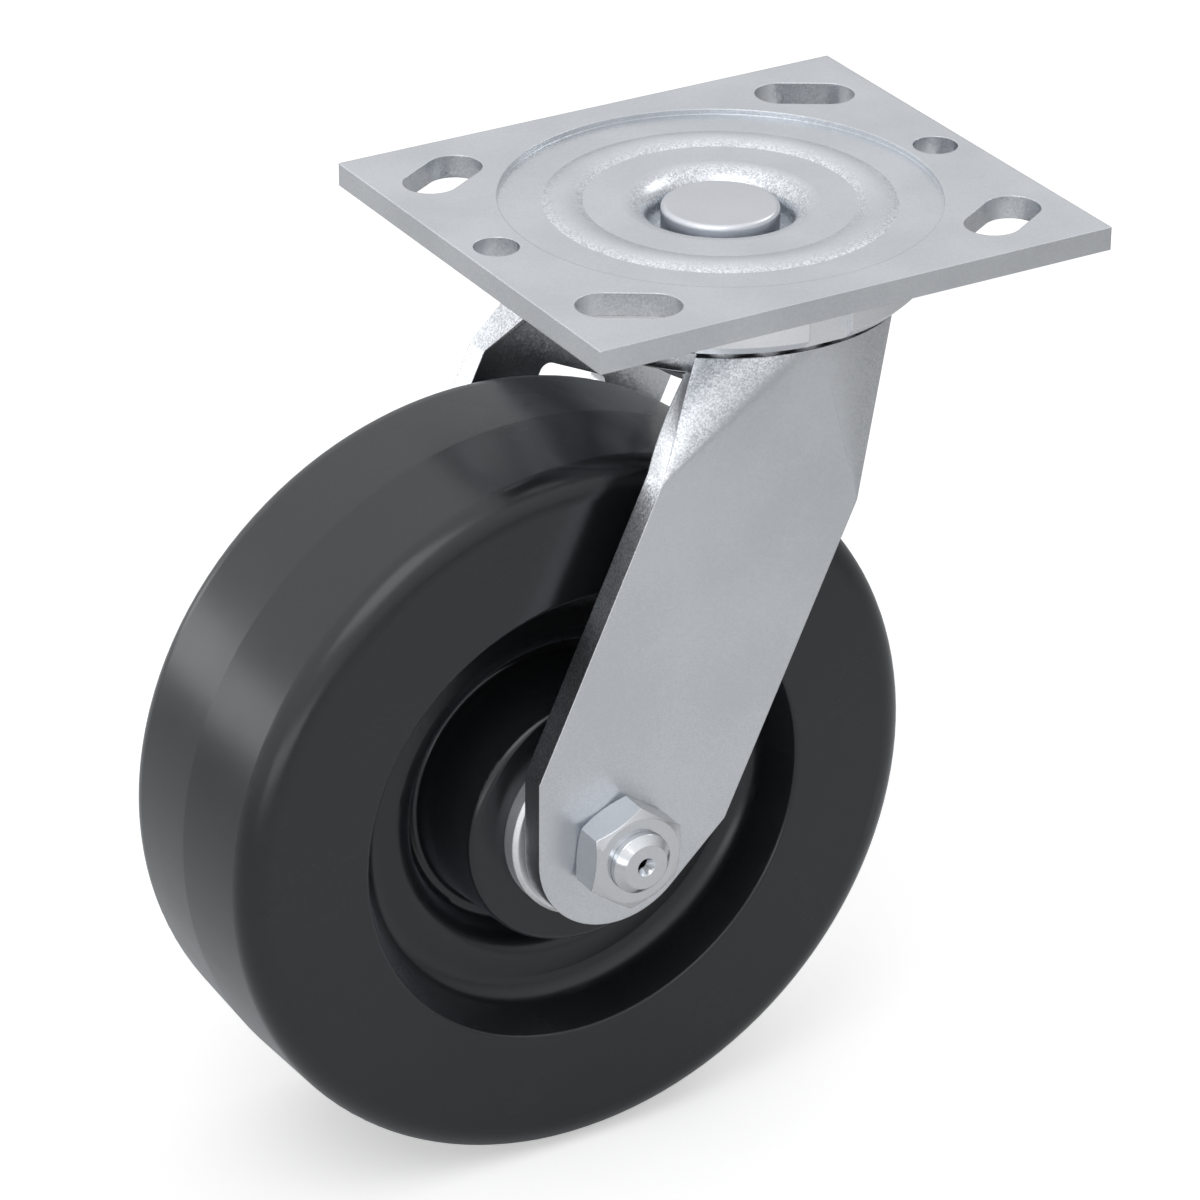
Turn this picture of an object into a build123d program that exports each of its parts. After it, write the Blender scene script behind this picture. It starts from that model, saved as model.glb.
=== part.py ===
"""Swivel castor with a 152 mm phenolic wheel on a 114 x 102 mm top plate.

The origin is the centre of the plate's top face, on the swivel axis. X runs along the plate's long side,
Z points up and the wheel trails towards -X. The near leg is on the -Y side. Sizes are in millimetres.
"""
from build123d import *
from math import acos, asin, atan2, cos, degrees, pi, radians, sin, sqrt, tan
import os

# Overall
wheel_diameter = 152.4
wheel_width = 50.8
swivel_lead = 44.45
wheel_clearance = 9.0

# Top plate
pattern_long = 92.08
pattern_short = 66.68
pattern_square = 76.2
plate_end_margin = 11.11
plate_side_margin = 12.7
plate_thickness = 4.76
slot_width = 11.11
hole_diameter = 9.0
hole_end_margin = 6.95
recess_margin = 2.85
recess_depth = 1.15
ridge_width = 7.9
ridge_height = 1.0
channel_inset = 0.5
cup_gap = 2.3
cup_rim_radius = 5.5
cup_wall = 4.0
cup_floor = 4.2

# Kingpin, its nut and cotter pin
kingpin_diameter = 15.88
head_shoulder = 3.76
head_height = 7.3
head_drop = 1.7
head_edge = 1.0
thread_fit = 0.03
kingpin_nut_wall = 3.96
kingpin_nut_height = 6.5
kingpin_end = 0.7
cotter_diameter = 2.0
cotter_fit = 0.15
cotter_overhang = 1.8
cotter_spread = 60.0
cotter_eye_wire = 1.5
cotter_eye_inside = 2.0
castle_side_room = 0.4
castle_end_room = 0.7

# Swivel races
load_ball_diameter = 7.94
thrust_ball_diameter = 6.35
ball_clearance = 0.1
ball_spacing = 0.08
race_gap = 1.55
thrust_gap = 1.5
race_outer_land = 6.46
ring_overhang = 3.49
ring_bore_gap = 2.0
ring_height = 10.34
ring_bevel = 2.1
notch_width = 9.5
notch_depth = 2.3
thrust_inner_land = 7.0
thrust_outer_land = 6.5
thrust_race_thickness = 4.2
edge_break = 0.8
chamfer_share = 0.95

# Grease fitting on the ring
fitting_angle = 45.0
fitting_gap = 0.5
fitting_flats = 7.94
fitting_hex_height = 3.2
fitting_seat_margin = 1.0
fitting_seat_depth = 0.35
fitting_thread_diameter = 6.2
fitting_thread_length = 5.0
fitting_tip_diameter = 6.5
fitting_neck_diameter = 4.7
fitting_shoulder_height = 0.6
fitting_neck_length = 2.2
fitting_tip_height = 2.6
fitting_passage_diameter = 1.2
grease_duct_diameter = 2.4

# Fork
sheet = 5.56
leg_rear_width = 23.5
leg_front_width = 22.75
leg_angle = 24.85
foot_radius = 17.75
front_corner_height = 9.2
rear_fold_drop = 20.6
front_fold_drop = 34.7
rear_wrap = 38.7
front_wrap = 32.0
edge_lean = 3.5
crown_hole_clearance = 1.56
crown_rim = 0.6
crown_edge_radius = 4.5
race_wall = 3.0
window_width = 16.5
window_height = 25.0
window_drop = 1.8
window_corner = 2.2

# Axle
axle_diameter = 12.7
axle_clearance = 0.2
axle_nut_wall = 3.175
axle_head_height = 7.94
axle_nut_height = 7.94
axle_nut_turn = 24.5
axle_head_turn = 10.0
axle_end_out = 2.95
axle_end_chamfer = 1.65
grease_hole_diameter = 2.0
grease_mouth_diameter = 3.9
grease_mouth_depth = 1.9

# Wheel
tread_draft = 2.0
tread_edge_radius = 6.0
hub_proud = 0.9
hub_wall = 11.8
hub_draft = 1.3
hub_edge_radius = 1.6
groove_width = 3.0
groove_draft = 2.2
groove_drop = 7.2
groove_fillet = 1.3
ledge_width = 10.9
ledge_depth = 10.9
ledge_edge_radius = 5.0
recess_draft = 4.6
recess_fillet = 5.0
face_edge_radius = 0.9

# Wheel bearing
bushing_wall = 2.975
roller_diameter = 5.4
roller_count = 9
roller_clearance = 0.08
roller_end_clearance = 0.3
cage_thickness = 2.6
cage_end_room = 3.7
cage_radial_clearance = 0.7
cage_bar_clearance = 0.5
cage_bar_inset = 0.6
cap_land = 4.2
cap_height = 3.9
cap_sheet = 1.6
cap_hole_clearance = 0.4
washer_width = 4.9
washer_thickness = 1.43
washer_clearance = 0.12
washer_bore_clearance = 0.08

# Wheel and its bearing, worked out from the axle outwards
wheel_radius = wheel_diameter / 2
bushing_radius = axle_diameter / 2 + axle_clearance + bushing_wall
roller_pitch_radius = bushing_radius + roller_clearance + roller_diameter / 2
wheel_bore_radius = roller_pitch_radius + roller_diameter / 2 + roller_clearance
hub_end = wheel_width / 2 + hub_proud
cap_radius = wheel_bore_radius + cap_land
cap_face = hub_end + cap_height
cage_end = cap_face - cap_sheet - cage_end_room
roller_length = 2 * (cage_end - cage_thickness - roller_end_clearance)
axle_nut_flats = axle_diameter + 2 * axle_nut_wall

# Fork, worked out from the wheel's hub outwards
leg_inner = cap_face + washer_clearance + washer_thickness
leg_outer = leg_inner + sheet
axle_end = leg_outer + axle_nut_height + axle_end_out

# Kingpin and races, worked out from the fork's width and the kingpin
race_pitch_radius = leg_outer - race_outer_land
ring_radius = leg_outer + ring_overhang
recess_radius = ring_radius + recess_margin
head_radius = kingpin_diameter / 2 + head_shoulder
cup_radius = head_radius + cup_gap
cup_outer_radius = cup_radius + cup_wall
ring_bore_radius = cup_outer_radius + ring_bore_gap
crown_radius = race_pitch_radius + load_ball_diameter / 2 + ball_clearance + crown_rim
crown_hole_radius = kingpin_diameter / 2 + crown_hole_clearance
thrust_pitch_radius = crown_hole_radius + thrust_inner_land
thrust_race_radius = thrust_pitch_radius + thrust_outer_land
kingpin_nut_flats = kingpin_diameter + 2 * kingpin_nut_wall
kingpin_nut_corner = kingpin_nut_flats / 2 / cos(pi / 6)
castle_depth = cotter_diameter + 2 * castle_end_room

# Heights, worked out from the plate's top face down
boss_bottom = -recess_depth - plate_thickness
cup_floor_top = -head_drop - head_height
ring_bottom = boss_bottom - ring_height
load_ball_height = ring_bottom - race_gap / 2
crown_top = ring_bottom - race_gap
crown_bottom = crown_top - sheet
thrust_ball_height = crown_bottom - thrust_gap / 2
thrust_race_top = crown_bottom - thrust_gap
thrust_race_bottom = thrust_race_top - thrust_race_thickness
kingpin_nut_bottom = thrust_race_bottom - kingpin_nut_height
kingpin_bottom = kingpin_nut_bottom - kingpin_end
cotter_height = kingpin_nut_bottom + castle_depth / 2
fitting_height = boss_bottom - fitting_gap - fitting_flats / 2


def axle_height_under(overhangs):
    """Lower the axle until the wheel clears each (radius, height) that hangs over it."""
    heights = []
    for radius, height in overhangs:
        rise = sqrt(wheel_radius**2 - (swivel_lead - radius) ** 2)
        heights.append(height - wheel_clearance - rise)
    return min(heights)


axle_height = axle_height_under(
    [
        (kingpin_nut_corner, kingpin_nut_bottom),
        (kingpin_diameter / 2, kingpin_bottom),
        (thrust_race_radius, thrust_race_bottom),
        (leg_outer, crown_bottom),
    ]
)

# Turns a piece built about its own Z into the axle's place, with Z towards the near leg
AXLE = Location((-swivel_lead, 0, axle_height), (90, 0, 0))
FAR_SIDE = Rotation(180, 0, 0)


def turned(*outline):
    """Turn a closed outline of (radius, height) points about Z."""
    return revolve(Plane.XZ * make_face(Polyline(*outline, close=True)), Axis.Z)


def turned_lines(*lines):
    """Turn an outline that is made of joined lines and arcs about Z."""
    return revolve(Plane.XZ * make_face(Curve() + list(lines)), Axis.Z)


def rounded(face, corners):
    """Round corners of a flat outline, each given as ((x, y), radius)."""
    for point, radius in corners:
        vertex = face.vertices().sort_by_distance(Vector(*point))[0]
        face = fillet(vertex, radius)
    return face


def upright(radius, bottom, top):
    """Make a plain round bar on the Z axis between two heights."""
    return Pos(0, 0, (bottom + top) / 2) * Cylinder(radius, top - bottom)


def ring_of(piece, count, start=0.0):
    """Repeat a piece round the Z axis."""
    return [Rotation(0, 0, start + 360 * i / count) * piece for i in range(count)]


def ball_groove(pitch_radius, ball_diameter, height):
    """Make the round channel that a ball set runs in."""
    return Pos(0, 0, height) * Torus(pitch_radius, ball_diameter / 2 + ball_clearance)


def hexagon(flats, height, bore_radius, chamfered_ends):
    """Make a hexagon from z = 0 up, with its corners turned off at one end or both."""
    nut = extrude(RegularPolygon(flats / 2, 6, major_radius=False), height)
    corner = flats / 2 / cos(pi / 6)
    face = flats / 2 * chamfer_share
    drop = (corner - face) * tan(pi / 6)
    nut &= turned((0, 0), (corner, 0), (corner, height - drop), (face, height), (0, height))
    if chamfered_ends == 2:
        nut &= turned((0, 0), (face, 0), (corner, drop), (corner, height), (0, height))
    if bore_radius:
        nut -= upright(bore_radius, -1, height + 1)
    return nut


def plate_slots():
    """Make the cutters for the four diagonal slots, which join two standard bolt patterns."""
    run = Vector(pattern_long - pattern_square, pattern_square - pattern_short) / 2
    centre = Vector(pattern_long + pattern_square, pattern_short + pattern_square) / 4
    angle = degrees(atan2(run.Y, run.X))
    slots = []
    for sx in (-1, 1):
        for sy in (-1, 1):
            slot = SlotCenterToCenter(run.length, slot_width, rotation=-sx * sy * angle)
            slots.append(Pos(sx * centre.X, sy * centre.Y) * slot)
    return slots


def bowed(inner, outer, level, height):
    """Draw a low arch in the section, from one radius out to another."""
    return ThreePointArc((inner, level), ((inner + outer) / 2, level + height), (outer, level))


def top_plate():
    """Stamp the plate: a shallow recess, a ridge over the race and a drawn cup for the kingpin's head."""
    length = pattern_long + 2 * plate_end_margin
    width = pattern_square + 2 * plate_side_margin
    blank = Pos(0, 0, -plate_thickness / 2) * Box(length, width, plate_thickness)
    blank -= upright(recess_radius, boss_bottom, plate_thickness)
    floor = -recess_depth
    cup_bottom = cup_floor_top - cup_floor
    ridge_in = race_pitch_radius - ridge_width / 2
    ridge_out = race_pitch_radius + ridge_width / 2
    rim = cup_radius + cup_rim_radius
    hole = kingpin_diameter / 2 + thread_fit
    ridge = bowed(ridge_in, ridge_out, floor, ridge_height)
    channel = bowed(ridge_in + channel_inset, ridge_out - channel_inset, boss_bottom, ridge_height)
    rim_arc = CenterArc((rim, floor - cup_rim_radius), cup_rim_radius, 180, -90)
    blank += turned_lines(
        Line((rim, floor), ridge @ 0),
        ridge,
        Polyline(ridge @ 1, (recess_radius, floor), (recess_radius, boss_bottom), channel @ 1),
        channel,
        Polyline(
            channel @ 0,
            (cup_outer_radius, boss_bottom),
            (cup_outer_radius, cup_bottom + edge_break),
            (cup_outer_radius - edge_break, cup_bottom),
            (hole, cup_bottom),
            (hole, cup_floor_top),
            (cup_radius, cup_floor_top),
            rim_arc @ 0,
        ),
        rim_arc,
    )
    hole_place = length / 2 - hole_end_margin
    holes = [Pos(side * hole_place, 0) * Circle(hole_diameter / 2) for side in (-1, 1)]
    for outline in plate_slots() + holes:
        blank -= Pos(0, 0, -2 * plate_thickness) * extrude(outline, 3 * plate_thickness)
    return blank


def raceway_ring():
    """Turn the upper load race, with a rib that sits in the plate's channel and four lock notches."""
    rib_inset = channel_inset + ball_clearance - ridge_width / 2
    rib_height = ridge_height - ball_clearance
    rib = bowed(race_pitch_radius + rib_inset, race_pitch_radius - rib_inset, boss_bottom, rib_height)
    ring = turned_lines(
        rib,
        Polyline(
            rib @ 1,
            (ring_radius, boss_bottom),
            (ring_radius, ring_bottom + ring_bevel),
            (ring_radius - ring_bevel, ring_bottom),
            (ring_bore_radius + edge_break, ring_bottom),
            (ring_bore_radius, ring_bottom + edge_break),
            (ring_bore_radius, boss_bottom),
            rib @ 0,
        ),
    )
    ring -= ball_groove(race_pitch_radius, load_ball_diameter, load_ball_height)
    notch = Pos(ring_radius, 0, boss_bottom) * Box(2 * notch_depth, notch_width, 3 * ring_height)
    for cutter in ring_of(notch, 4):
        ring -= cutter
    return ring - fitting_hole()


def fitting_hole():
    """Make the cutter for the grease fitting: its seat and thread, and a duct down into the ball groove."""
    reach = ring_radius - race_pitch_radius
    seat = upright(fitting_flats / 2 + fitting_seat_margin, -fitting_seat_depth, fitting_seat_depth)
    thread = upright(fitting_thread_diameter / 2 + thread_fit, -fitting_seat_depth - fitting_thread_length, 0)
    duct = upright(grease_duct_diameter / 2, -reach, 0)
    cutter = Pos(ring_radius, 0, fitting_height) * Rotation(0, 90, 0) * (seat + thread + duct)
    drop = Pos(race_pitch_radius, 0, 0) * upright(grease_duct_diameter / 2, load_ball_height, fitting_height)
    return Rotation(0, 0, fitting_angle) * (cutter + drop)


def swivel_grease_fitting():
    """Turn a grease nipple with its hexagon, and stand it in the ring's rim."""
    tip = fitting_tip_diameter / 2
    neck = fitting_neck_diameter / 2
    shoulder = fitting_hex_height + fitting_shoulder_height
    neck_end = shoulder + fitting_neck_length
    end = neck_end + fitting_tip_height
    thread = upright(fitting_thread_diameter / 2, -fitting_thread_length, 0)
    hexagon_body = Rotation(0, 0, 30) * hexagon(fitting_flats, fitting_hex_height, 0, 1)
    cone_drop = tip - neck
    nose = turned(
        (0, 0),
        (tip, 0),
        (tip, shoulder),
        (neck, shoulder + cone_drop),
        (neck, neck_end),
        (tip, neck_end + cone_drop),
        (tip - cone_drop, end),
        (0, end),
    )
    passage = upright(fitting_passage_diameter / 2, -fitting_thread_length, end)
    fitting = thread + hexagon_body + nose - passage
    base = ring_radius - fitting_seat_depth
    return Rotation(0, 0, fitting_angle) * Pos(base, 0, fitting_height) * Rotation(0, 90, 0) * fitting


def kingpin():
    """Turn the kingpin: a round head in the plate's cup, and a shank drilled for its cotter pin."""
    shank = kingpin_diameter / 2
    top = -head_drop
    edge = CenterArc((head_radius - head_edge, top - head_edge), head_edge, 0, 90)
    pin = turned_lines(
        edge,
        Polyline(
            edge @ 1,
            (0, top),
            (0, kingpin_bottom),
            (shank - edge_break, kingpin_bottom),
            (shank, kingpin_bottom + edge_break),
            (shank, cup_floor_top),
            (head_radius, cup_floor_top),
            edge @ 0,
        ),
    )
    hole = Rotation(90, 0, 0) * Cylinder(cotter_diameter / 2 + cotter_fit, 2 * kingpin_diameter)
    return pin - Pos(0, 0, cotter_height) * hole


def kingpin_nut():
    """Make the slotted nut under the thrust race, with its slots facing down."""
    nut = hexagon(kingpin_nut_flats, kingpin_nut_height, kingpin_diameter / 2 + thread_fit, 1)
    castle_width = cotter_diameter + 2 * castle_side_room
    slot = Pos(0, 0, kingpin_nut_height) * Box(castle_width, 2 * kingpin_nut_flats, 2 * castle_depth)
    for cutter in ring_of(slot, 6)[:3]:
        nut -= cutter
    return Pos(0, 0, thrust_race_bottom) * FAR_SIDE * nut


def kingpin_cotter_pin():
    """Bend the split pin: an eye on one side of the nut, and two half-round prongs spread on the other."""
    wire = cotter_diameter / 2
    reach = kingpin_nut_corner + cotter_overhang
    bend_start = -reach + 2 * wire
    rod = Pos(0, (reach + bend_start) / 2, 0) * Rotation(90, 0, 0) * Cylinder(wire, reach - bend_start)
    half_disc = make_face(Curve() + [CenterArc((0, 0), wire, 0, 180), Line((-wire, 0), (wire, 0))])
    half_disc = Pos(0, bend_start, 0) * Rotation(90, 0, 0) * half_disc
    prong = revolve(half_disc, Axis((0, bend_start, 2 * wire), (1, 0, 0)), -cotter_spread)
    eye_radius = (cotter_eye_inside + cotter_eye_wire) / 2
    eye = Pos(0, reach + wire, 0) * Rotation(0, 90, 0) * Torus(eye_radius, cotter_eye_wire / 2)
    return Pos(0, 0, cotter_height) * (rod + prong + mirror(prong, about=Plane.XY) + eye)


def thrust_race():
    """Turn the lower race, which the kingpin's nut holds up against the thrust balls."""
    bore = kingpin_diameter / 2 + thread_fit
    race = turned(
        (bore, thrust_race_bottom),
        (thrust_race_radius - 2 * edge_break, thrust_race_bottom),
        (thrust_race_radius, thrust_race_bottom + 2 * edge_break),
        (thrust_race_radius, thrust_race_top - edge_break),
        (thrust_race_radius - edge_break, thrust_race_top),
        (bore, thrust_race_top),
    )
    return race - ball_groove(thrust_pitch_radius, thrust_ball_diameter, thrust_ball_height)


def ball_set(pitch_radius, diameter, height):
    """Fill a groove with as many loose balls as it takes."""
    count = int(pi / asin((diameter + ball_spacing) / 2 / pitch_radius))
    return Compound(ring_of(Pos(pitch_radius, 0, height) * Sphere(diameter / 2), count))


def leg_point(across, up):
    """Turn a place on the leg, measured from the axle across and along the leg, into (x, z)."""
    tilt = radians(leg_angle)
    x = -swivel_lead + across * cos(tilt) + up * sin(tilt)
    z = axle_height - across * sin(tilt) + up * cos(tilt)
    return x, z


def leg_reach(across, height):
    """Measure how far up the leg a line along it comes to a height."""
    tilt = radians(leg_angle)
    return (height - axle_height + across * sin(tilt)) / cos(tilt)


rear_fold = leg_reach(-leg_rear_width, crown_top - rear_fold_drop)
front_fold = leg_reach(leg_front_width, crown_top - front_fold_drop)


def fork_hull(radius, half_gap, top):
    """Fill the shape that blends the round crown into the flat legs, out to one face of the sheet."""
    rear_x, rear_z = leg_point(-leg_rear_width, rear_fold)
    front_x, front_z = leg_point(leg_front_width, front_fold)
    corners = [
        Vector(rear_x, -half_gap, rear_z),
        Vector(front_x, -half_gap, front_z),
        Vector(front_x, half_gap, front_z),
        Vector(rear_x, half_gap, rear_z),
    ]
    rim = [Vector(radius * cos(a), radius * sin(a), top) for a in (-pi / 2, 0, pi / 2, pi)]
    near, front, far, rear = rim
    outlines = [rim, corners]
    outlines += [[corners[0], corners[1], near], [corners[1], corners[2], front]]
    outlines += [[corners[2], corners[3], far], [corners[3], corners[0], rear]]
    outlines += [[corners[0], near, rear], [corners[1], front, near]]
    outlines += [[corners[2], far, front], [corners[3], rear, far]]
    hull = Solid(Shell([Face(Wire.make_polygon(outline, close=True)) for outline in outlines]))
    for corner, start in zip(corners, (180, 270, 0, 90)):
        arc = CenterArc((0, 0, top), radius, start, 90)
        segment = make_face(Curve() + [arc, Line(arc @ 1, arc @ 0)])
        hull += loft([segment, Vertex(*corner)])
    return hull


def rim_point(radius, angle, lean):
    """Place a point on a line that crosses the crown's rim at an angle, leaning off the radius."""
    reach = radius - leg_outer
    x = leg_outer * cos(angle) + reach * cos(angle + lean)
    y = leg_outer * sin(angle) + reach * sin(angle + lean)
    return x, y, crown_top


def sheet_trimmer():
    """Fill the stretch that the near leg's sheet keeps, between its two free edges."""
    rear_x, rear_z = leg_point(-leg_rear_width, rear_fold)
    front_x, front_z = leg_point(leg_front_width, front_fold)
    inner = leg_inner - sheet
    outer = leg_outer + 2 * sheet
    rear = (radians(-90 - rear_wrap), radians(-edge_lean))
    front = (radians(-90 + front_wrap), radians(edge_lean))
    rear_side = [rim_point(inner, *rear), rim_point(outer, *rear)]
    rim = rear_side + [rim_point(outer, *front), rim_point(inner, *front)]
    top = Wire.make_polygon(rim, close=True)
    foot = [
        (rear_x, -inner, rear_z),
        (rear_x, -outer, rear_z),
        (front_x, -outer, front_z),
        (front_x, -inner, front_z),
    ]
    bottom = Wire.make_polygon(foot, close=True)
    return Solid.make_loft([top, bottom], ruled=True)


def leg_outline():
    """Draw the flat leg: straight sides, cut corners and a round foot about the axle."""
    axle = Vector(-swivel_lead, axle_height)
    rear_top = Vector(*leg_point(-leg_rear_width, rear_fold))
    front_top = Vector(*leg_point(leg_front_width, front_fold))
    front_corner = Vector(*leg_point(leg_front_width, front_corner_height))
    tilt = radians(leg_angle)
    rear_side = axle.X - foot_radius
    rear_drop = (leg_rear_width - foot_radius * cos(tilt)) / sin(tilt)
    rear_corner = Vector(rear_side, axle.Y + rear_drop)
    reach = front_corner - axle
    away = atan2(reach.Y, reach.X) - acos(foot_radius / reach.length)
    sweep = degrees(away) + 180
    foot = CenterArc((axle.X, axle.Y), foot_radius, 180, sweep)
    sides = Polyline(foot @ 1, front_corner, front_top, rear_top, rear_corner, foot @ 0)
    return make_face(Curve() + [foot, sides])


def flat_leg():
    """Cut the near leg's flat part out of the sheet."""
    return Pos(0, -leg_inner, 0) * extrude(Plane.XZ * leg_outline(), sheet)


def crown():
    """Form the fork's round crown, with a rounded lower rim and a low ridge under the load race."""
    inside = crown_radius - crown_edge_radius
    edge = CenterArc((inside, crown_bottom + crown_edge_radius), crown_edge_radius, -90, 90)
    disc = turned_lines(
        edge,
        Polyline(edge @ 1, (crown_radius, crown_top), (0, crown_top), (0, crown_bottom), edge @ 0),
    )
    ridge_radius = load_ball_diameter / 2 + ball_clearance + race_wall
    ridge = Pos(0, 0, load_ball_height) * Torus(race_pitch_radius, ridge_radius)
    ridge &= upright(inside, crown_bottom - ridge_radius, crown_bottom)
    return disc + ridge


def fork():
    """Form the fork from one sheet: the crown, conical corners, flat legs, axle holes and one window."""
    sheet_shell = fork_hull(leg_outer, leg_outer, crown_top) - fork_hull(leg_inner, leg_inner, crown_bottom)
    near_leg = (sheet_shell & sheet_trimmer()) + flat_leg()
    blank = crown() + near_leg + mirror(near_leg, about=Plane.XZ)
    blank -= upright(crown_hole_radius, crown_bottom - 2 * sheet, crown_top + sheet)
    blank -= ball_groove(race_pitch_radius, load_ball_diameter, load_ball_height)
    blank -= ball_groove(thrust_pitch_radius, thrust_ball_diameter, thrust_ball_height)
    blank -= AXLE * Cylinder(axle_diameter / 2 + axle_clearance, 3 * leg_outer)
    middle = (leg_front_width - leg_rear_width) / 2
    window_top = (rear_fold + front_fold) / 2 - window_drop
    window_x, window_z = leg_point(middle, window_top - window_height / 2)
    window = RectangleRounded(window_width, window_height, window_corner, rotation=-leg_angle)
    cutter = Plane.XZ * Pos(window_x, window_z) * window
    return blank - extrude(cutter, -2 * leg_outer)


def grease_cross_hole(length):
    """Make the cutter that lets grease out of the axle and through its bushing."""
    hole = Cylinder(grease_hole_diameter / 2, length, align=(Align.CENTER, Align.CENTER, Align.MIN))
    return Rotation(90, 0, 0) * hole


def axle_bolt():
    """Turn the axle with its head on the far leg, and drill it for grease from the near end."""
    radius = axle_diameter / 2
    end = axle_end
    shank = turned(
        (0, -leg_outer),
        (radius, -leg_outer),
        (radius, end - axle_end_chamfer),
        (radius - axle_end_chamfer, end),
        (0, end),
    )
    head = Rotation(0, 0, axle_head_turn) * FAR_SIDE * hexagon(axle_nut_flats, axle_head_height, 0, 1)
    hole = grease_hole_diameter / 2
    mouth = grease_mouth_diameter / 2
    drilled = turned((0, -hole), (hole, 0), (hole, end - grease_mouth_depth), (mouth, end), (0, end))
    bolt = shank + Pos(0, 0, -leg_outer) * head - drilled
    return AXLE * (bolt - grease_cross_hole(axle_diameter))


def axle_nut():
    """Make the hexagon nut on the near leg."""
    nut = hexagon(axle_nut_flats, axle_nut_height, axle_diameter / 2 + thread_fit, 2)
    return AXLE * Pos(0, 0, leg_outer) * Rotation(0, 0, axle_nut_turn) * nut


def spanner_bushing():
    """Make the hardened tube that the bolt clamps between the legs, with its grease hole."""
    bore = axle_diameter / 2 + axle_clearance
    tube = turned(
        (bore, -leg_inner),
        (bushing_radius, -leg_inner),
        (bushing_radius, leg_inner),
        (bore, leg_inner),
    )
    return AXLE * (tube - grease_cross_hole(2 * bushing_radius))


def wheel_half_profile():
    """Draw half of the wheel's section as (radius, distance from the mid-plane)."""
    face = wheel_width / 2
    shoulder = wheel_radius - face * tan(radians(tread_draft))
    ledge = face - ledge_depth
    valley = ledge - groove_drop
    hub = wheel_bore_radius + hub_wall
    groove_inner = hub + hub_draft
    groove_outer = groove_inner + groove_width
    ledge_inner = groove_outer + groove_draft
    ledge_outer = ledge_inner + ledge_width
    mouth = ledge_outer + recess_draft
    corners = [
        ((wheel_bore_radius, 0), 0),
        ((wheel_radius, 0), 0),
        ((shoulder, face), tread_edge_radius),
        ((mouth, face), face_edge_radius),
        ((ledge_outer, ledge), recess_fillet),
        ((ledge_inner, ledge), ledge_edge_radius),
        ((groove_outer, valley), groove_fillet),
        ((groove_inner, valley), groove_fillet),
        ((hub, hub_end), hub_edge_radius),
        ((wheel_bore_radius, hub_end), 0),
    ]
    profile = make_face(Polyline(*[point for point, radius in corners], close=True))
    return rounded(profile, [corner for corner in corners if corner[1]])


def wheel():
    """Turn the moulded wheel from its section."""
    half = revolve(Plane.XZ * wheel_half_profile(), Axis.Z)
    return AXLE * (half + mirror(half, about=Plane.XY))


def bearing_cap():
    """Press the steel cap that covers one end of the hub."""
    hole = bushing_radius + cap_hole_clearance
    cap = turned(
        (hole, cap_face - cap_sheet),
        (cap_radius - cap_sheet, cap_face - cap_sheet),
        (cap_radius - cap_sheet, hub_end),
        (cap_radius, hub_end),
        (cap_radius, cap_face - edge_break),
        (cap_radius - edge_break, cap_face),
        (hole, cap_face),
    )
    return AXLE * cap, AXLE * FAR_SIDE * cap


def thrust_washer():
    """Turn the washer between a bearing cap and its leg."""
    inner = bushing_radius + washer_bore_clearance
    outer = inner + washer_width
    start = leg_inner - washer_thickness
    washer = turned((inner, start), (outer, start), (outer, leg_inner), (inner, leg_inner))
    return AXLE * washer, AXLE * FAR_SIDE * washer


def rollers():
    """Lay out the wheel bearing's straight rollers."""
    roller = Pos(roller_pitch_radius, 0, 0) * Cylinder(roller_diameter / 2, roller_length)
    return AXLE * Compound(ring_of(roller, roller_count))


def roller_cage():
    """Join two end rings with bars that run between the rollers."""
    start = cage_end - cage_thickness
    inner = bushing_radius + cage_radial_clearance
    outer = wheel_bore_radius - cage_radial_clearance
    ring = turned((inner, start), (outer, start), (outer, cage_end), (inner, cage_end))
    cage = ring + mirror(ring, about=Plane.XY)
    room = 2 * roller_pitch_radius * sin(pi / roller_count) - roller_diameter
    bar_height = outer - inner - 2 * cage_bar_inset
    bar = Pos(roller_pitch_radius, 0, 0) * Box(bar_height, room - 2 * cage_bar_clearance, 2 * start)
    for piece in ring_of(bar, roller_count, 180 / roller_count):
        cage += piece
    return AXLE * cage


def build():
    """Build every piece and name it."""
    near_cap, far_cap = bearing_cap()
    near_washer, far_washer = thrust_washer()
    return {
        "top_plate": top_plate(),
        "raceway_ring": raceway_ring(),
        "swivel_grease_fitting": swivel_grease_fitting(),
        "kingpin": kingpin(),
        "kingpin_nut": kingpin_nut(),
        "kingpin_cotter_pin": kingpin_cotter_pin(),
        "thrust_race": thrust_race(),
        "load_balls": ball_set(race_pitch_radius, load_ball_diameter, load_ball_height),
        "thrust_balls": ball_set(thrust_pitch_radius, thrust_ball_diameter, thrust_ball_height),
        "fork": fork(),
        "axle_bolt": axle_bolt(),
        "axle_nut": axle_nut(),
        "spanner_bushing": spanner_bushing(),
        "near_thrust_washer": near_washer,
        "far_thrust_washer": far_washer,
        "wheel": wheel(),
        "near_bearing_cap": near_cap,
        "far_bearing_cap": far_cap,
        "rollers": rollers(),
        "roller_cage": roller_cage(),
    }


os.makedirs("parts", exist_ok=True)
for name, shape in build().items():
    export_step(shape, f"parts/{name}.step")
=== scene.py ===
"""Looks for the swivel castor: materials, light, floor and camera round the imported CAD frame."""

import math

import bpy
from mathutils import Matrix, Vector


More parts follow.
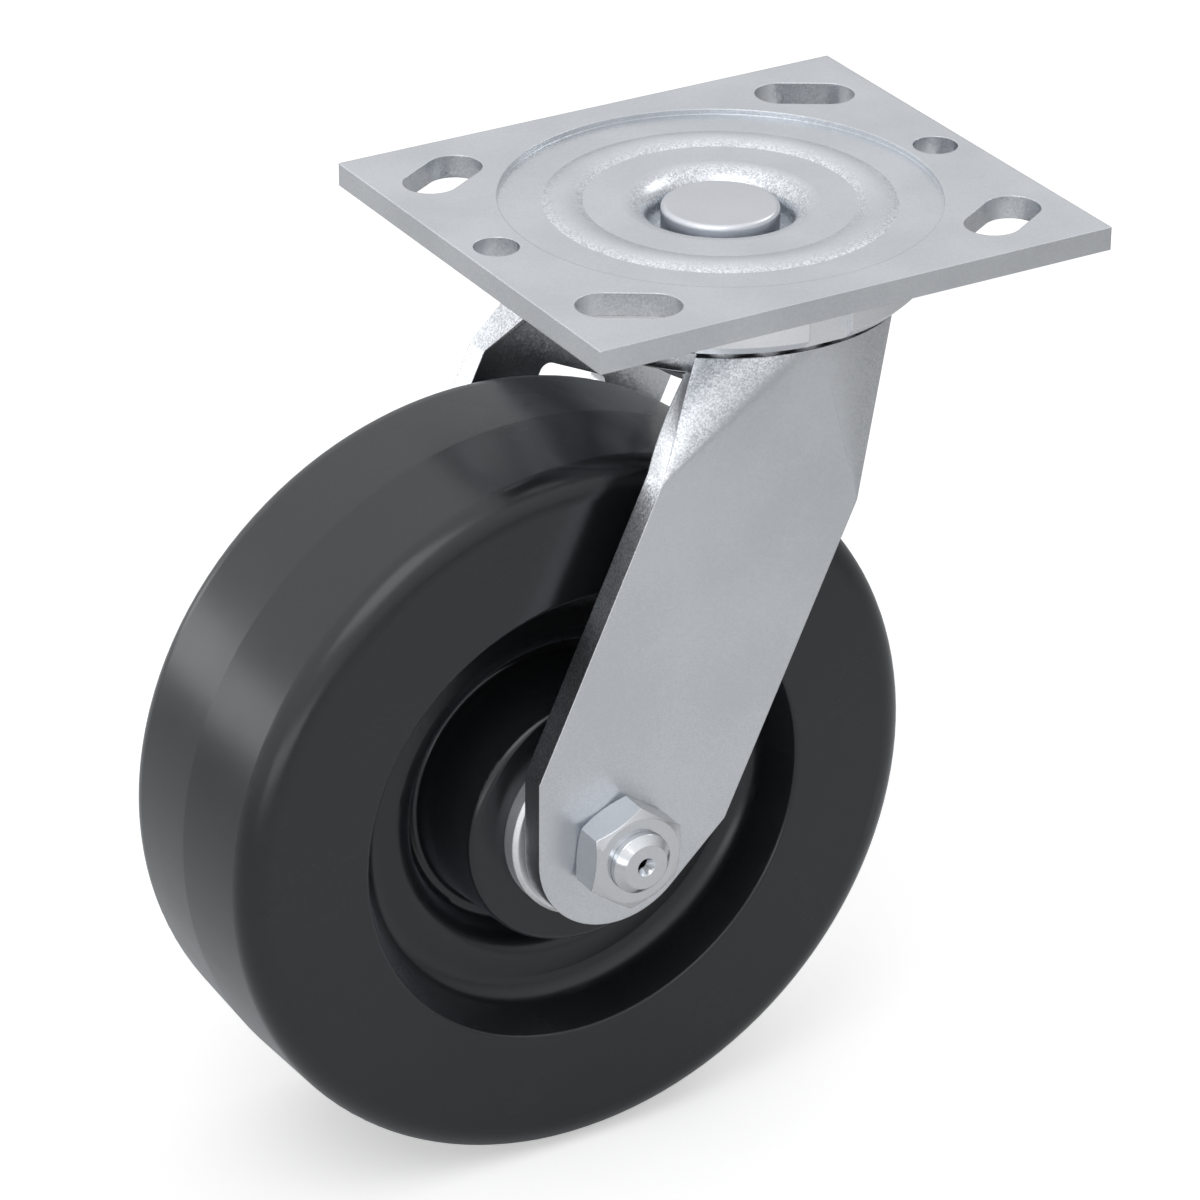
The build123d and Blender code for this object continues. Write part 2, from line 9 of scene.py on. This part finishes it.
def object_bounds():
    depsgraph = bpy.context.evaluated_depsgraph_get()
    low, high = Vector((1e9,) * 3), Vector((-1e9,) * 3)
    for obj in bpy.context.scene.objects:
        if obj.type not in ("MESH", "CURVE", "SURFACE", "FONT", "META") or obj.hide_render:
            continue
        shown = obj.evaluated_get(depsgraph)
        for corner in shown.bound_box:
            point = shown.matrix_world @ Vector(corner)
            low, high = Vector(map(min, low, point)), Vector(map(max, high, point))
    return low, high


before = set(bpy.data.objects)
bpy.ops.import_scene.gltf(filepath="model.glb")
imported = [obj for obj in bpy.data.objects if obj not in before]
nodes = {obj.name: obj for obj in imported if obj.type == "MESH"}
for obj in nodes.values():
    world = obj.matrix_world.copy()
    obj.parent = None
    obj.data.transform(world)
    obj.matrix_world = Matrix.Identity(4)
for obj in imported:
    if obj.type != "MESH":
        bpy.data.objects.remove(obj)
cad_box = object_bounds()
scene = bpy.context.scene
scene.view_settings.view_transform = "Standard"

AXLE_CENTRE = (-0.04445, 0, -0.1143)
SWIVEL_CENTRE = (0, 0, 0)
FLOOR_Z = cad_box[0].z
FLOOR_HALF_WIDTH = 6.0

# Camera, as solved from the photograph
TARGET = Vector((-0.038424, -0.019683, -0.070176))
CAMERA_AZIMUTH = math.radians(-30.714)
CAMERA_ELEVATION = math.radians(27.51)
CAMERA_ROLL = math.radians(0.374)
CAMERA_DISTANCE = 1.07858
CAMERA_LENS = 166.048
CAMERA_SENSOR = 36.0

# Lamps: place, width and height, and power in watts
LAMP_AIM = Vector((-0.03, 0, -0.08))
LAMPS = {
    "key": ((-0.7, -0.5, 1.1), (0.9, 0.9), 4.0),
    "strip": ((-1.0, -0.9, -0.03), (0.95, 0.3), 1.2),
    "rim_left": ((-0.85, 1.15, 0.02), (0.9, 0.34), 1.6),
    "rim_right": ((1.15, 0.0, 0.95), (0.5, 0.5), 2.0),
}

# Studio light: how strong it is as light, and as gloss shows it from below to above and from left to right
WORLD_LIGHT = 0.6
WORLD_HEIGHT = (0.17, 1.27)
WORLD_SIDE = (0.28, -0.28)

# Floor: its plain tone and glow, and the painted shade that gloss sees on it, darker to each side (from x,
# to x, tone, tone)
FLOOR_TONE = 0.9
FLOOR_GLOW = 0.45
FLOOR_RIGHT = (0.1, 0.45, 0.88, 0.5)
FLOOR_LEFT = (-0.4, -0.1, 0.68, 0.88)

# Plated steel: the scale of its clouds and the waves that the ring texture draws per unit
CLOUD_SCALE = 45.0
WAVES_PER_UNIT = 20

# Painted glints on the sheet: a face is flat where its normal's largest part reaches the second value, and
# gets the full painted glint speckle below the first. Where the normal's upward part is below WALL_LEAN it
# gets only WALL_SHARE of that painted speckle
FLAT_FACES = (0.9, 0.995)
WALL_LEAN = 0.12
WALL_SHARE = 0.25

# Phenolic: scales of flakes and flow lines, and how high they stand in metres
FLAKE_SCALE = 700.0
FLAKE_HEIGHT = 0.000006
FLOW_SCALE = 40.0
FLOW_HEIGHT = 0.00004


def add_camera():
    """Set the camera at the photograph's viewing angle."""
    back = Vector(
        (
            math.sin(CAMERA_AZIMUTH) * math.cos(CAMERA_ELEVATION),
            -math.cos(CAMERA_AZIMUTH) * math.cos(CAMERA_ELEVATION),
            math.sin(CAMERA_ELEVATION),
        )
    )
    right = Vector((0, 0, 1)).cross(back).normalized()
    up = back.cross(right)
    turned_right = right * math.cos(CAMERA_ROLL) + up * math.sin(CAMERA_ROLL)
    turned_up = up * math.cos(CAMERA_ROLL) - right * math.sin(CAMERA_ROLL)
    data = bpy.data.cameras.new("camera")
    data.lens = CAMERA_LENS
    data.sensor_width = CAMERA_SENSOR
    data.clip_start = 0.05
    data.clip_end = 50
    camera = bpy.data.objects.new("camera", data)
    place = TARGET + back * CAMERA_DISTANCE
    columns = Matrix((turned_right, turned_up, back)).transposed().to_4x4()
    camera.matrix_world = Matrix.Translation(place) @ columns
    scene.collection.objects.link(camera)
    scene.camera = camera


class Graph:
    """A small helper that adds nodes to one material or world and links them."""

    def __init__(self, owner):
        owner.use_nodes = True
        self.tree = owner.node_tree

    def add(self, kind, inputs=None, **settings):
        """Add a node; an input that is a socket is linked, any other is set."""
        node = self.tree.nodes.new(kind)
        for name, value in settings.items():
            setattr(node, name, value)
        for name, value in (inputs or {}).items():
            if isinstance(value, bpy.types.NodeSocket):
                self.tree.links.new(value, node.inputs[name])
            else:
                node.inputs[name].default_value = value
        return node

    def math(self, operation, first, second):
        return self.add("ShaderNodeMath", {0: first, 1: second}, operation=operation).outputs[0]

    def vector(self, operation, first, second=(0, 0, 0)):
        return self.add("ShaderNodeVectorMath", {0: first, 1: second}, operation=operation).outputs[0]

    def scaled(self, value, factor):
        inputs = {0: value, "Scale": factor}
        return self.add("ShaderNodeVectorMath", inputs, operation="SCALE").outputs[0]

    def separated(self, value):
        return self.add("ShaderNodeSeparateXYZ", {"Vector": value}).outputs

    def ranged(self, value, low, high, out_low, out_high):
        inputs = {"Value": value, "From Min": low, "From Max": high, "To Min": out_low, "To Max": out_high}
        return self.add("ShaderNodeMapRange", inputs).outputs["Result"]

    def blend(self, factor, first, second):
        """Go from one colour to another."""
        node = self.add("ShaderNodeMix", data_type="RGBA")
        self.tree.links.new(factor, node.inputs["Factor"])
        for name, colour in (("A", first), ("B", second)):
            socket = next(i for i in node.inputs if i.name == name and i.type == "RGBA")
            socket.default_value = (*colour, 1)
        return next(o for o in node.outputs if o.type == "RGBA")

    def noise(self, place, scale, detail, roughness=0.5):
        inputs = {"Vector": place, "Scale": scale, "Detail": detail, "Roughness": roughness}
        return self.add("ShaderNodeTexNoise", inputs).outputs["Fac"]

    def by_rays(self, plain, seen, glossy):
        """Give one value to light, one to what the camera sees directly, and one to what gloss mirrors."""
        path = self.add("ShaderNodeLightPath").outputs
        direct = self.math("MAXIMUM", path["Is Camera Ray"], path["Is Transmission Ray"])
        value = self.ranged(direct, 0.0, 1.0, plain, seen)
        mirrored = self.math("MULTIPLY", path["Is Glossy Ray"], self.math("SUBTRACT", glossy, value))
        return self.math("ADD", value, mirrored)

    def finish(self, surface, kind):
        """Send a shader to the surface of a material or world."""
        self.tree.links.new(surface, self.add(kind).inputs["Surface"])


def grain_with_painted_glints(graph, shade, painted_glint_speckle):
    """Say how much lighter or darker each crystal is painted where a sheet leans away from its flat faces:
    painted glints over the grain.
    """
    sides = graph.separated(graph.vector("ABSOLUTE", graph.add("ShaderNodeTexCoord").outputs["Normal"]))
    flat = graph.math("MAXIMUM", graph.math("MAXIMUM", sides["X"], sides["Y"]), sides["Z"])
    # Stronger light and dark speckle away from flat faces is painted glints, beyond the crystals' own grain
    painted_glint_share = graph.ranged(flat, *FLAT_FACES, painted_glint_speckle, 0.0)
    painted_glint_share = graph.math("MULTIPLY", painted_glint_share, graph.ranged(sides["Z"], 0.0, WALL_LEAN, WALL_SHARE, 1.0))
    return graph.math("ADD", 1.0, graph.math("MULTIPLY", painted_glint_share, graph.math("SUBTRACT", shade, 0.5)))


def turned_rings(graph, place, facing, centre, axis, spacing, depth):
    """Lay the fine rings that a lathe leaves over a normal."""
    moved = graph.add("ShaderNodeMapping", {"Vector": place, "Location": [-c for c in centre]}).outputs[0]
    scale = 2 * math.pi / (WAVES_PER_UNIT * spacing)
    inputs = {"Vector": moved, "Scale": scale, "Distortion": 0.4, "Detail": 1.0, "Detail Scale": 0.5}
    rings = graph.add("ShaderNodeTexWave", inputs, wave_type="RINGS", rings_direction=axis).outputs["Fac"]
    height = graph.math("MULTIPLY", rings, depth)
    inputs = {"Strength": 1.0, "Distance": 1.0, "Height": height, "Normal": facing}
    return graph.add("ShaderNodeBump", inputs).outputs[0]


def metal(name, dark, light, roughness, grain, sparkle, edge, lathe=None, painted_glint_speckle=0.0):
    """Make a plated steel: fine crystals that each tilt a little, soft clouds and lightly rounded edges.

    Away from a sheet's flat faces its crystals get stronger light and dark speckle, painted glints on top of
    the grain; the last argument says by how much.
    A turned part has lathe, its rings' centre, axis, spacing and depth.
    """
    made = bpy.data.materials.new(name)
    graph = Graph(made)
    shader = graph.tree.nodes["Principled BSDF"]
    shader.inputs["Metallic"].default_value = 1.0
    place = graph.add("ShaderNodeTexCoord").outputs["Object"]
    crystal = graph.add("ShaderNodeTexVoronoi", {"Vector": place, "Scale": grain}).outputs["Color"]
    shade = graph.separated(crystal)["X"]
    cloud = graph.noise(place, CLOUD_SCALE, 2.0)
    clouded = graph.math("ADD", shade, graph.ranged(cloud, 0.3, 0.7, -0.5, 0.5))
    plated = graph.blend(clouded, dark, light)
    # Painted glints: the crystal speckle grows away from the sheet's flat faces
    if painted_glint_speckle:
        plated = graph.scaled(plated, grain_with_painted_glints(graph, shade, painted_glint_speckle))
    graph.tree.links.new(plated, shader.inputs["Base Color"])
    graph.tree.links.new(graph.ranged(cloud, 0.3, 0.7, *roughness), shader.inputs["Roughness"])
    facing = graph.add("ShaderNodeBevel", {"Radius": edge}, samples=6).outputs[0]
    if lathe:
        facing = turned_rings(graph, place, facing, *lathe)
    tilt = graph.scaled(graph.vector("SUBTRACT", crystal, (0.5, 0.5, 0.5)), sparkle)
    normal = graph.vector("NORMALIZE", graph.vector("ADD", facing, tilt))
    graph.tree.links.new(normal, shader.inputs["Normal"])
    return made


def phenolic():
    """Make the wheel's black moulding: nearly black, glossy, with a faint uneven skin."""
    made = bpy.data.materials.new("black_phenolic")
    graph = Graph(made)
    shader = graph.tree.nodes["Principled BSDF"]
    shader.inputs["IOR"].default_value = 1.55
    shader.inputs["Specular Tint"].default_value = (0.93, 0.965, 1.0, 1)
    shader.inputs["Sheen Weight"].default_value = 0.12
    shader.inputs["Sheen Roughness"].default_value = 0.4
    shader.inputs["Sheen Tint"].default_value = (0.72, 0.84, 1.0, 1)
    place = graph.add("ShaderNodeTexCoord").outputs["Object"]
    flake = graph.noise(place, FLAKE_SCALE, 3.0, 0.55)
    flow = graph.noise(place, FLOW_SCALE, 3.0, 0.6)
    specks = graph.ranged(flake, 0.35, 0.65, 0.0, 0.6)
    mottle = graph.math("ADD", specks, graph.ranged(flow, 0.3, 0.7, 0.0, 0.4))
    colour = graph.blend(mottle, (0.0062, 0.0066, 0.0072), (0.0100, 0.0105, 0.0114))
    graph.tree.links.new(colour, shader.inputs["Base Color"])
    graph.tree.links.new(graph.ranged(flow, 0.3, 0.7, 0.22, 0.29), shader.inputs["Roughness"])
    flakes = graph.math("MULTIPLY", flake, FLAKE_HEIGHT)
    height = graph.math("ADD", flakes, graph.math("MULTIPLY", flow, FLOW_HEIGHT))
    bump = graph.add("ShaderNodeBump", {"Strength": 1.0, "Distance": 1.0, "Height": height})
    graph.tree.links.new(bump.outputs[0], shader.inputs["Normal"])
    return made


def coat(material, slot, *names):
    """Give CAD nodes a material. The slot name that it stands for is not used."""
    for name in names:
        mesh = nodes[name].data
        mesh.materials.clear()
        mesh.materials.append(material)


def add_lamp(name, place, size, power):
    """Hang a soft lamp, given its width and height, that lights the object without being seen."""
    data = bpy.data.lights.new(name, "AREA")
    data.shape = "RECTANGLE"
    data.size, data.size_y = size
    data.energy = power
    lamp = bpy.data.objects.new(name, data)
    lamp.location = place
    lamp.rotation_mode = "QUATERNION"
    lamp.rotation_quaternion = (LAMP_AIM - Vector(place)).to_track_quat("-Z", "Y")
    lamp.visible_camera = False
    scene.collection.objects.link(lamp)


def add_world():
    """Surround the object with a white studio, which shades off downwards and to the right in its gloss."""
    world = bpy.data.worlds.new("studio")
    scene.world = world
    graph = Graph(world)
    graph.tree.nodes.clear()
    way = graph.separated(graph.add("ShaderNodeTexCoord").outputs["Generated"])
    height = graph.ranged(way["Z"], -1.0, 1.0, *WORLD_HEIGHT)
    side = graph.ranged(way["X"], -1.0, 1.0, *WORLD_SIDE)
    strength = graph.by_rays(WORLD_LIGHT, 1.0, graph.math("ADD", height, side))
    background = graph.add("ShaderNodeBackground", {"Color": (1, 1, 1, 1), "Strength": strength})
    graph.finish(background.outputs[0], "ShaderNodeOutputWorld")


def add_floor():
    """Lay a large pale floor under the wheel, which keeps the castor's soft shadow."""
    half = FLOOR_HALF_WIDTH
    corners = [(x * half, y * half, FLOOR_Z) for x, y in ((-1, -1), (1, -1), (1, 1), (-1, 1))]
    mesh = bpy.data.meshes.new("floor")
    mesh.from_pydata(corners, [], [(0, 1, 2, 3)])
    floor = bpy.data.objects.new("floor", mesh)
    scene.collection.objects.link(floor)
    made = bpy.data.materials.new("floor_white")
    graph = Graph(made)
    graph.tree.nodes.clear()
    across = graph.separated(graph.add("ShaderNodeTexCoord").outputs["Object"])["X"]
    # Gloss sees the floor painted darker to each side: painted shade in what the metal reflects
    mirrored = graph.math("MINIMUM", graph.ranged(across, *FLOOR_LEFT), graph.ranged(across, *FLOOR_RIGHT))
    tone = graph.by_rays(FLOOR_TONE, FLOOR_TONE, mirrored)
    diffuse = graph.add("ShaderNodeBsdfDiffuse", {"Color": tone})
    strength = graph.by_rays(0.0, FLOOR_GLOW, 0.0)
    glow = graph.add("ShaderNodeEmission", {"Color": (1, 1, 1, 1), "Strength": strength})
    both = graph.add("ShaderNodeAddShader", {0: diffuse.outputs[0], 1: glow.outputs[0]})
    graph.finish(both.outputs[0], "ShaderNodeOutputMaterial")
    mesh.materials.append(made)


add_camera()
add_world()
add_floor()
for lamp_name, (lamp_place, lamp_size, lamp_power) in LAMPS.items():
    add_lamp(lamp_name, lamp_place, lamp_size, lamp_power)

# The sheet's last argument paints glints into its colour away from its flat faces, over the grain
sheet = metal(
    "zinc_sheet", dark=(0.605, 0.63, 0.665), light=(0.685, 0.71, 0.745), roughness=(0.29, 0.35),
    grain=3200.0, sparkle=0.09, edge=0.00035, painted_glint_speckle=0.5,
)
race = metal(
    "race_steel", dark=(0.83, 0.85, 0.88), light=(0.88, 0.90, 0.93), roughness=(0.26, 0.34),
    grain=2600.0, sparkle=0.03, edge=0.0003, lathe=(SWIVEL_CENTRE, "Z", 0.0004, 0.000003),
)
pin = metal(
    "bright_zinc_pin", dark=(0.63, 0.65, 0.69), light=(0.67, 0.69, 0.73), roughness=(0.26, 0.34),
    grain=2600.0, sparkle=0.03, edge=0.0003, lathe=(SWIVEL_CENTRE, "Z", 0.0005, 0.000003),
)
fastener = metal(
    "bright_zinc_axle", dark=(0.63, 0.65, 0.68), light=(0.67, 0.69, 0.72), roughness=(0.15, 0.20),
    grain=2600.0, sparkle=0.03, edge=0.00025, lathe=(AXLE_CENTRE, "Y", 0.0006, 0.0000015),
)
cap = metal(
    "pressed_cap", dark=(0.80, 0.815, 0.84), light=(0.86, 0.875, 0.90), roughness=(0.50, 0.58),
    grain=2600.0, sparkle=0.06, edge=0.0004,
)
bearing = metal(
    "bearing_steel", dark=(0.60, 0.60, 0.60), light=(0.66, 0.66, 0.66), roughness=(0.06, 0.12),
    grain=1200.0, sparkle=0.0, edge=0.0001,
)
coat(sheet, "zinc_sheet", "top_plate", "fork")
coat(race, "race_steel", "raceway_ring", "thrust_race", "spanner_bushing", "roller_cage")
coat(pin, "bright_zinc", "kingpin", "kingpin_nut", "kingpin_cotter_pin", "swivel_grease_fitting")
coat(fastener, "bright_zinc", "axle_bolt", "axle_nut", "near_thrust_washer", "far_thrust_washer")
coat(cap, "bright_zinc", "near_bearing_cap", "far_bearing_cap")
coat(bearing, "bearing_steel", "load_balls", "thrust_balls", "rollers")
coat(phenolic(), "phenolic", "wheel")
